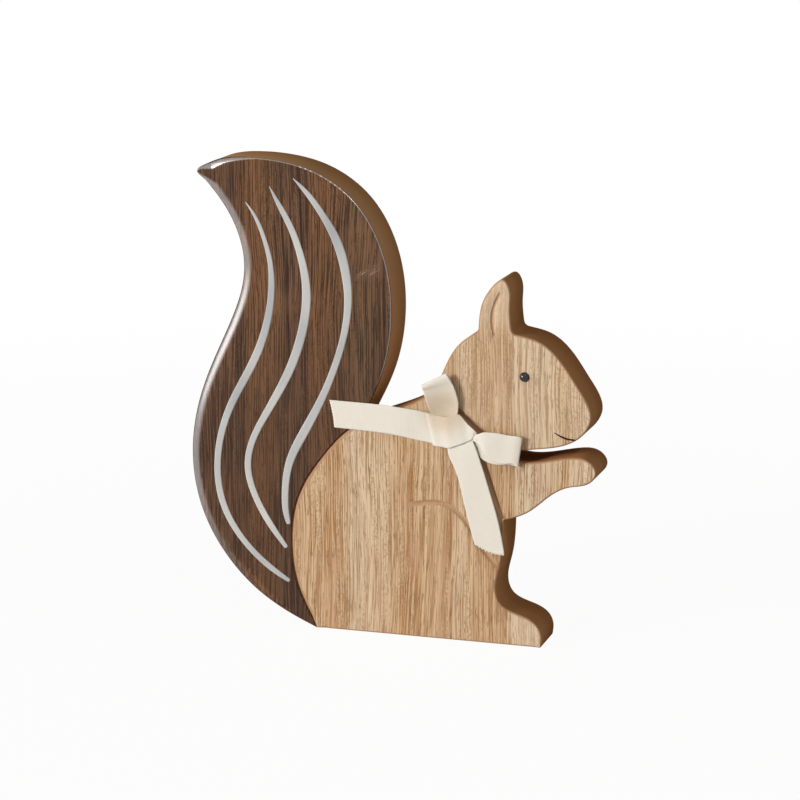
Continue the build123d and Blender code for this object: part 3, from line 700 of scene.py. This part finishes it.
UPPER_LOOP = [
    ((6.4, 1.4, 99.0), (10.5, 1.5, 99.6), 0.2), ((3.5, 1.7, 100.4), (13.7, 2.0, 101.9), 0.6),
    ((1.8, 2.4, 102.2), (14.3, 2.2, 104.6), 0.85), ((0.6, 3.1, 105.7), (14.3, 2.4, 107.6), 0.75),
    ((-0.4, 3.7, 109.3), (13.6, 2.7, 110.6), 0.45), ((-1.1, 4.1, 111.9), (11.8, 3.2, 115.5), 0.15),
    ((-1.6, 4.3, 113.8), (9.4, 3.6, 119.5), 0.0), ((-1.7, 4.1, 114.1), (9.2, 3.4, 119.8), 0.0),
    ((-1.6, 3.85, 113.8), (9.4, 3.15, 119.5), 0.0), ((-0.9, 2.5, 109.4), (11.8, 2.0, 113.3), 0.0),
    ((1.4, 1.6, 103.7), (12.8, 1.5, 107.1), 0.0), ((6.3, 1.1, 99.1), (10.3, 1.2, 99.9), 0.0),
]
RIGHT_LOOP = [
    ((19.6, 1.9, 93.6), (19.6, 1.9, 91.0), 0.0), ((22.7, 2.3, 93.7), (21.7, 2.3, 90.5), -0.2),
    ((25.9, 2.8, 94.9), (24.1, 2.7, 88.8), -0.3), ((28.3, 2.9, 95.0), (25.4, 2.9, 86.4), -0.35),
    ((31.4, 2.9, 95.0), (27.7, 2.9, 84.1), -0.3), ((37.2, 2.8, 94.3), (34.4, 2.7, 81.5), -0.15),
    ((42.4, 2.6, 93.7), (40.6, 2.5, 81.1), 0.0), ((42.7, 2.4, 93.5), (41.0, 2.3, 80.7), 0.0),
    ((42.4, 2.15, 93.4), (40.6, 2.05, 80.7), 0.0), ((34.7, 1.5, 93.0), (31.8, 1.5, 80.8), 0.0),
    ((27.2, 1.2, 93.0), (24.2, 1.3, 83.2), 0.0), ((22.8, 1.2, 91.9), (20.6, 1.2, 88.0), 0.0),
]
KNOT = [
    ((-0.6, 0.75, 100.6), (2.6, 0.75, 87.2), 0.0), ((0.4, 1.15, 100.9), (3.6, 1.15, 87.0), 0.0),
    ((3.0, 1.45, 100.8), (6.0, 1.4, 86.9), 0.0), ((6.1, 1.9, 100.6), (8.3, 1.7, 86.7), -0.05),
    ((8.5, 2.3, 100.4), (10.0, 2.0, 86.6), -0.1), ((11.2, 2.4, 100.9), (13.2, 2.2, 87.8), -0.15),
    ((14.0, 2.35, 102.0), (15.9, 2.3, 88.9), -0.15), ((18.5, 2.3, 97.9), (18.8, 2.3, 90.4), -0.1),
    ((22.6, 2.0, 93.8), (20.8, 2.0, 91.3), 0.0), ((22.6, 1.5, 93.1), (20.8, 1.6, 91.2), 0.0),
    ((20.2, 1.2, 93.5), (19.4, 1.2, 91.6), 0.0),
]
# Each run of the bow has its node, ribs, rows of points, fray, bulge, flat length, hold and what it rests on
BOW_RUNS = [
    ("bow_tail_left", LEFT_END, 90, 0.1, -0.35, 55.0, "laid", ["body_board", "tail_board"]),
    ("bow_tail_right", RIGHT_END, 90, 0.42, 1.3, 52.0, "hung", ["body_board"]),
    ("bow_loop_upper", UPPER_LOOP, 110, 0.0, 0.0, 44.0, "folded", ["bow_knot"]),
    ("bow_loop_right", RIGHT_LOOP, 110, 0.0, 0.0, 44.0, "folded", ["bow_knot"]),
    ("bow_knot", KNOT, 110, 0.0, 0.0, 27.0, "folded", ["neck_ribbon"]),
]
ribbons = []
for node, ribs, rows, fray, bulge, flat_length, held, rests_on in BOW_RUNS:
    sheet, s = through_ribs(ribs, rows, fray, bulge)
    ribbons.append(ribbon(node + "_ribbon", node, sheet, s))

NECK_START, NECK_ALONG, NECK_ACROSS = np.array(NAPE), np.array((0.795, -0.607)), np.array((0.607, 0.795))
NECK_NEAR, NECK_FAR, NECK_REACH, NECK_BEND, NECK_SAG = -1.2, 38.8, HALF_BOARD + 0.5, 1.1, 6.3
NECK_ROWS, BEND_ROWS, NECK_COLUMNS, NECK_LENGTH = 40, 7, 31, 122.0
GATHERED, SPREAD, LAYERS, LAYER = 3.6, 10.5, 3, 0.34
LAYER_FROM, LAYER_SPAN, FLATTENED = -0.8, 2.6, 0.75


def neck_turn():
    """Turn round the neck. Its path is an oblong with rounded corners, u along the line of the neck and v through the
    board. The cloth lies across it in a zigzag of three layers, one above the other, and opens out flat behind by
    sin(pi u)^0.5. In front the path sags by sin(pi u). Gives the sheet and the length along its path."""
    quarter = np.linspace(0, np.pi / 2, BEND_ROWS)
    sine, cosine = np.sin(quarter)[:, None], np.cos(quarter)[:, None]
    run = np.linspace(0, 1, NECK_ROWS)[1:-1, None]
    wide, deep = NECK_FAR - NECK_NEAR - 2 * NECK_BEND, 2 * (NECK_REACH - NECK_BEND)
    sides = [
        (NECK_NEAR + NECK_BEND, -NECK_REACH, (1, 0), wide), (NECK_FAR, -NECK_REACH + NECK_BEND, (0, 1), deep),
        (NECK_FAR - NECK_BEND, NECK_REACH, (-1, 0), wide), (NECK_NEAR, NECK_REACH - NECK_BEND, (0, -1), deep),
    ]
    path, normal = [], []
    for u, v, (hu, hv), long in sides:
        start, ahead, left, right = (np.array(pair) for pair in ((u, v), (hu, hv), (-hv, hu), (hv, -hu)))
        bend = NECK_BEND * (sine * ahead + (1 - cosine) * left)
        path += [start + ahead * long * run, start + ahead * long + bend]
        normal += [np.tile(right, (len(run), 1)), sine * ahead + cosine * right]
    path, normal = (np.concatenate([*rows, rows[0][:1]]) for rows in (path, normal))
    share = np.clip((path[:, 0] - NECK_NEAR) / (NECK_FAR - NECK_NEAR), 0, 1)
    front = np.clip(-path[:, 1] / NECK_REACH, 0, 1) ** 8
    behind = np.clip(path[:, 1] / NECK_REACH, 0, 1) ** 3
    sag = -NECK_SAG * front * np.sin(np.pi * share)
    opened = (behind * np.sin(np.pi * share) ** 0.5)[:, None]
    t = np.linspace(0, 1, NECK_COLUMNS)
    zigzag = np.abs((t * LAYERS + 1) % 2 - 1) * 2 - 1
    width = GATHERED + (SPREAD - GATHERED) * opened
    across = width / 2 * ((1 - opened) * zigzag + opened * (2 * t - 1))
    lift = LAYER * (t * LAYER_SPAN + LAYER_FROM) * (1 - FLATTENED * opened)
    plan = NECK_START + path[:, :1] * NECK_ALONG + sag[:, None] * NECK_ACROSS
    flat = plan[:, None] + across[..., None] * NECK_ACROSS + normal[:, :1, None] * lift[..., None] * NECK_ALONG
    sheet = np.stack([flat[..., 0], path[:, 1:] + normal[:, 1:] * lift, flat[..., 1]], axis=2)
    return sheet, lengths_along(path)


sheet, s = neck_turn()
ribbons.append(ribbon("neck_ribbon_turn", "neck_ribbon", sheet, s))

RIB_PITCH, WARP_PITCH = 0.72, 0.45
CREAM, CREAM_SHADE, CREAM_IN_SHADE = (0.8, 0.755, 0.67, 1), (0.7, 0.645, 0.55, 1), (0.62, 0.5, 0.36, 1)
KNOT_SHADE_CENTRE = (7.5, 103.0)
cloth, shader, (x, _, z) = finish("cream_ribbon", *ribbons)
length, across = along_across(cloth)
rib = cloth.maths("SINE", length * (2 * np.pi / RIB_PITCH)) * 0.5 + 0.5
warp = cloth.maths("SINE", across * (2 * np.pi * RIBBON_WIDTH / WARP_PITCH) + rib * 3.0) * 0.5 + 0.5
edge = (across - 0.5).size().step(0.465, 0.485)
slub = cloth.noise(length * 0.6, across * 3.0, 1.0, 3.0)
# Painted shade: the cloth is darker in the hollows between ribs and threads; the slubs are the yarn's own unevenness
colour = cloth.tint((1 - rib) * 0.3 + (1 - warp) * 0.12 + slub * 0.25, CREAM, CREAM_SHADE)
# Painted shade: the cloth turns warmer and darker round the knot and the lower part of the upper loop, where the bow
# shades itself
from_knot_shade = ((x - KNOT_SHADE_CENTRE[0]) ** 2 + (z - KNOT_SHADE_CENTRE[1]) ** 2) ** 0.5
colour = cloth.tint((1 - from_knot_shade.step(4.0, 15.0)) * 0.9, colour, CREAM_IN_SHADE)
wire(
    cloth, shader, Base_Color=colour, Roughness=0.78, Sheen_Weight=0.15, Sheen_Roughness=0.5,
    Normal=bump(cloth, rib * 0.7 + warp * 0.2 + edge * 0.4, distance=0.1, strength=0.6), Specular_IOR_Level=0.25,
)

# Floor, light and camera
# A plain pale floor that stays white to the camera and keeps a soft shadow. A soft key lamp and a weak side lamp
# stand on the left, a small lamp hangs above on the right, and a warm fill comes from all round.
FLOOR_HALF = 40.0
floor_mesh = bpy.data.meshes.new("floor")
corner = FLOOR_HALF * np.array([(-1, -1, 0), (1, -1, 0), (1, 1, 0), (-1, 1, 0)])
floor_mesh.from_pydata(corner.tolist(), [], [[0, 1, 2, 3]])
floor = bpy.data.objects.new("floor", floor_mesh)
bpy.context.scene.collection.objects.link(floor)


def looked_at(tree):
    """1 for what the camera sees, straight, in a mirror or through glass, and 0 for what only gives light."""
    camera_ray, mirror, glass = (
        tree.node("ShaderNodeLightPath", "Is " + ray + " Ray") for ray in ("Camera", "Glossy", "Transmission")
    )
    return tree.maths("MAXIMUM", tree.maths("MAXIMUM", camera_ray, mirror), glass)


WHITE, FLOOR_GREY, WARM_FILL = (1, 1, 1, 1), (0.8, 0.8, 0.8, 1), (1.0, 0.88, 0.76, 1)
FILL_STRENGTH, WHITE_SHARE = 0.21, 0.95
ground, shader, (x, y, _) = finish("pale_floor", floor)
wire(ground, shader, Base_Color=FLOOR_GREY, Roughness=0.9, Specular_IOR_Level=0.1)
white = ground.node("ShaderNodeEmission", 0, None, {"Color": WHITE, "Strength": 1.0})
from_object = (x**2 + y**2) ** 0.5
share = looked_at(ground) * (WHITE_SHARE + from_object.step(200.0, 900.0) * (1 - WHITE_SHARE))
lit = Shade(ground.tree, shader.outputs[0])
mixed = ground.node("ShaderNodeMixShader", 0, None, {0: share, 1: lit, 2: white})
ground.tree.links.new(mixed.socket, ground.tree.nodes["Material Output"].inputs["Surface"])

world = bpy.data.worlds.new("studio")
bpy.context.scene.world = world
world.use_nodes = True
sky = Shade(world.node_tree)
fill = sky.node("ShaderNodeBackground", 0, None, {"Color": WARM_FILL, "Strength": FILL_STRENGTH})
open_white = sky.node("ShaderNodeBackground", 0, None, {"Color": WHITE, "Strength": 1.0})
mixed = sky.node("ShaderNodeMixShader", 0, None, {0: looked_at(sky), 1: fill, 2: open_white})
sky.tree.links.new(mixed.socket, sky.tree.nodes["World Output"].inputs["Surface"])

TARGET = Vector((-0.0160, 0.0, 0.1034))


def lamp(name, towards, distance, wide, tall, power):
    """Soft lamp at a distance from the object in a direction, turned to face it."""
    light = bpy.data.lights.new(name, "AREA")
    light.shape, light.size, light.size_y, light.energy = "RECTANGLE", wide, tall, power
    holder = bpy.data.objects.new(name, light)
    holder.location = TARGET + Vector(towards).normalized() * distance
    holder.rotation_euler = (TARGET - holder.location).to_track_quat("-Z", "Y").to_euler()
    bpy.context.scene.collection.objects.link(holder)


lamp("key_lamp", towards=(-0.66, -0.72, 0.22), distance=4.0, wide=1.0, tall=1.0, power=120.0)
lamp("side_lamp", towards=(-0.92, -0.38, 0.2), distance=1.8, wide=0.9, tall=1.6, power=12.0)
lamp("top_lamp", towards=(0.5, -0.4, 0.76), distance=1.4, wide=0.15, tall=0.15, power=2.6)

AZIMUTH, ELEVATION, DISTANCE = np.radians(17.27), np.radians(12.58), 1.25
LENS, SENSOR = 129.02, 36.0
view_back = Vector((
    np.sin(AZIMUTH) * np.cos(ELEVATION), -np.cos(AZIMUTH) * np.cos(ELEVATION), np.sin(ELEVATION),
))
camera_data = bpy.data.cameras.new("camera")
camera_data.lens, camera_data.sensor_width = LENS, SENSOR
camera = bpy.data.objects.new("camera", camera_data)
camera.location = TARGET + view_back * DISTANCE
camera.rotation_euler = (-view_back).to_track_quat("-Z", "Y").to_euler()
bpy.context.scene.collection.objects.link(camera)
bpy.context.scene.camera = camera
bpy.context.scene.view_settings.view_transform = "Standard"
